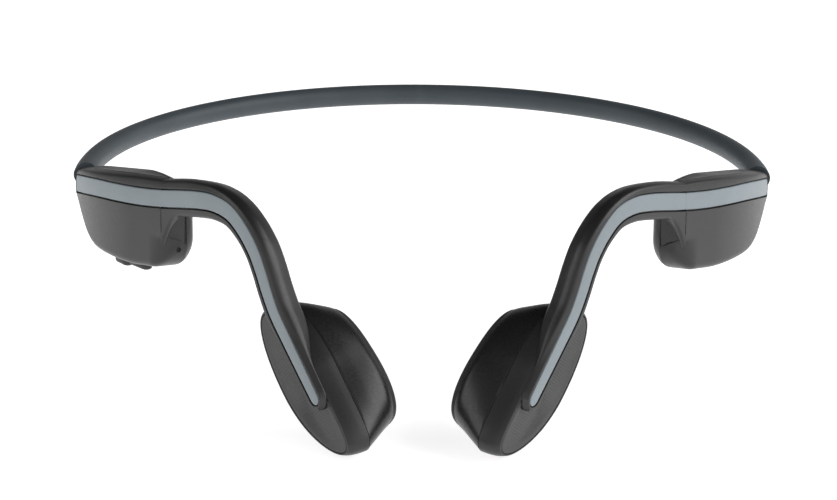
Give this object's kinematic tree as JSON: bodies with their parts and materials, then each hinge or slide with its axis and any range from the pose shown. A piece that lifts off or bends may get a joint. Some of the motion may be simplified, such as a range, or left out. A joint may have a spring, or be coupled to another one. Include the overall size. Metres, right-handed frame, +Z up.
{
  "type": "bone conduction headphones",
  "caption": "Open-ear bone conduction headphones with a wraparound neckband, two side housings, hooks over the ears and flat transducer pods.",
  "frame": {"origin": "middle of the whole object's box in plan, at its lowest point, the underside of the pods", "axes": "+X towards the wearer's left, +Y towards the back of the wearer's head, +Z up"},
  "size_m": [0.1316, 0.1342, 0.0423],
  "materials": {
    "sleeve_silicone": "matte moulded silicone",
    "shell_plastic": "satin moulded plastic",
    "strip_plastic": "satin moulded plastic",
    "panel_plastic": "fine ribbed moulded plastic",
    "pad_silicone": "soft matte silicone",
    "button_silicone": "matte silicone",
    "seal_silicone": "matte silicone",
    "spring_wire": "drawn wire",
    "cable_jacket": "matte",
    "coil_copper": "enamelled wire",
    "circuit_board": "solder mask",
    "battery_foil": "pouch foil",
    "foam": "foam",
    "clear_lens": "frosted",
    "magnet_nickel": "nickel plated",
    "connector_steel": "drawn steel",
    "steel": "stamped"
  },
  "bodies": {
    "neckband": {"neckband_sleeve": "sleeve_silicone", "neckband_wire": "spring_wire", "neckband_cable": "cable_jacket"},
    "right_arm": {"right_band_plug": "steel", "right_housing_outer_shell": "shell_plastic", "right_housing_inner_shell": "shell_plastic", "right_housing_seal": "seal_silicone", "right_ear_hook": "shell_plastic", "right_hook_strip": "strip_plastic", "right_hook_wire": "spring_wire", "right_hook_cable": "cable_jacket", "right_pod_outer_shell": "shell_plastic", "right_pod_inner_shell": "shell_plastic", "right_pod_seal": "seal_silicone", "right_pod_panel": "panel_plastic", "right_contact_pad": "pad_silicone", "right_transducer_yoke": "steel", "right_transducer_magnet": "magnet_nickel", "right_voice_coil": "coil_copper", "right_flexure_spring": "steel", "right_drive_plate": "steel", "main_board": "circuit_board", "radio_shield": "steel", "board_screws": "steel", "usb_c_receptacle": "connector_steel", "volume_switches": "steel", "front_microphone": "steel", "lower_microphone": "steel", "microphone_meshes": "steel", "status_light_lens": "clear_lens"},
    "left_arm": {"left_band_plug": "steel", "left_housing_outer_shell": "shell_plastic", "left_housing_inner_shell": "shell_plastic", "left_housing_seal": "seal_silicone", "left_ear_hook": "shell_plastic", "left_hook_strip": "strip_plastic", "left_hook_wire": "spring_wire", "left_hook_cable": "cable_jacket", "left_pod_outer_shell": "shell_plastic", "left_pod_inner_shell": "shell_plastic", "left_pod_seal": "seal_silicone", "left_contact_pad": "pad_silicone", "left_transducer_yoke": "steel", "left_transducer_magnet": "magnet_nickel", "left_voice_coil": "coil_copper", "left_flexure_spring": "steel", "left_drive_plate": "steel", "battery_cell": "battery_foil", "battery_protection_board": "circuit_board", "battery_foam_pad": "foam", "multifunction_board": "circuit_board", "multifunction_switch": "steel"},
    "volume_up_button": {"volume_up_button": "button_silicone"},
    "volume_down_button": {"volume_down_button": "button_silicone"},
    "multifunction_button": {"multifunction_button": "panel_plastic"},
    "port_cover": {"port_cover": "button_silicone"}
  },
  "joints": [
    {"name": "right_arm_spread", "type": "hinge", "parent": "neckband", "child": "right_arm", "pos_m": [-0.033, 0.05577, 0.03288], "axis": [0, 0, -1], "range_deg": [0, 26], "stiffness_Nm_per_rad": 0.25, "deforming": ["neckband_sleeve", "neckband_wire", "neckband_cable"]},
    {"name": "left_arm_spread", "type": "hinge", "parent": "neckband", "child": "left_arm", "pos_m": [0.033, 0.05577, 0.03288], "axis": [0, 0, 1], "range_deg": [0, 26], "stiffness_Nm_per_rad": 0.25, "deforming": ["neckband_sleeve", "neckband_wire", "neckband_cable"]},
    {"name": "volume_up_press", "type": "slide", "parent": "right_arm", "child": "volume_up_button", "axis": [0, 0, 1], "range_m": [0, 0.0004], "stiffness_N_per_m": 1000},
    {"name": "volume_down_press", "type": "slide", "parent": "right_arm", "child": "volume_down_button", "axis": [0, 0, 1], "range_m": [0, 0.0004], "stiffness_N_per_m": 1000},
    {"name": "multifunction_press", "type": "slide", "parent": "left_arm", "child": "multifunction_button", "axis": [-0.7547, 0.6561, 0], "range_m": [0, 0.0004], "stiffness_N_per_m": 1000},
    {"name": "port_cover_open", "type": "hinge", "parent": "right_arm", "child": "port_cover", "pos_m": [-0.05722, 0.00103, 0.02968], "axis": [0, 0, 1], "range_deg": [0, 110]}
  ]
}
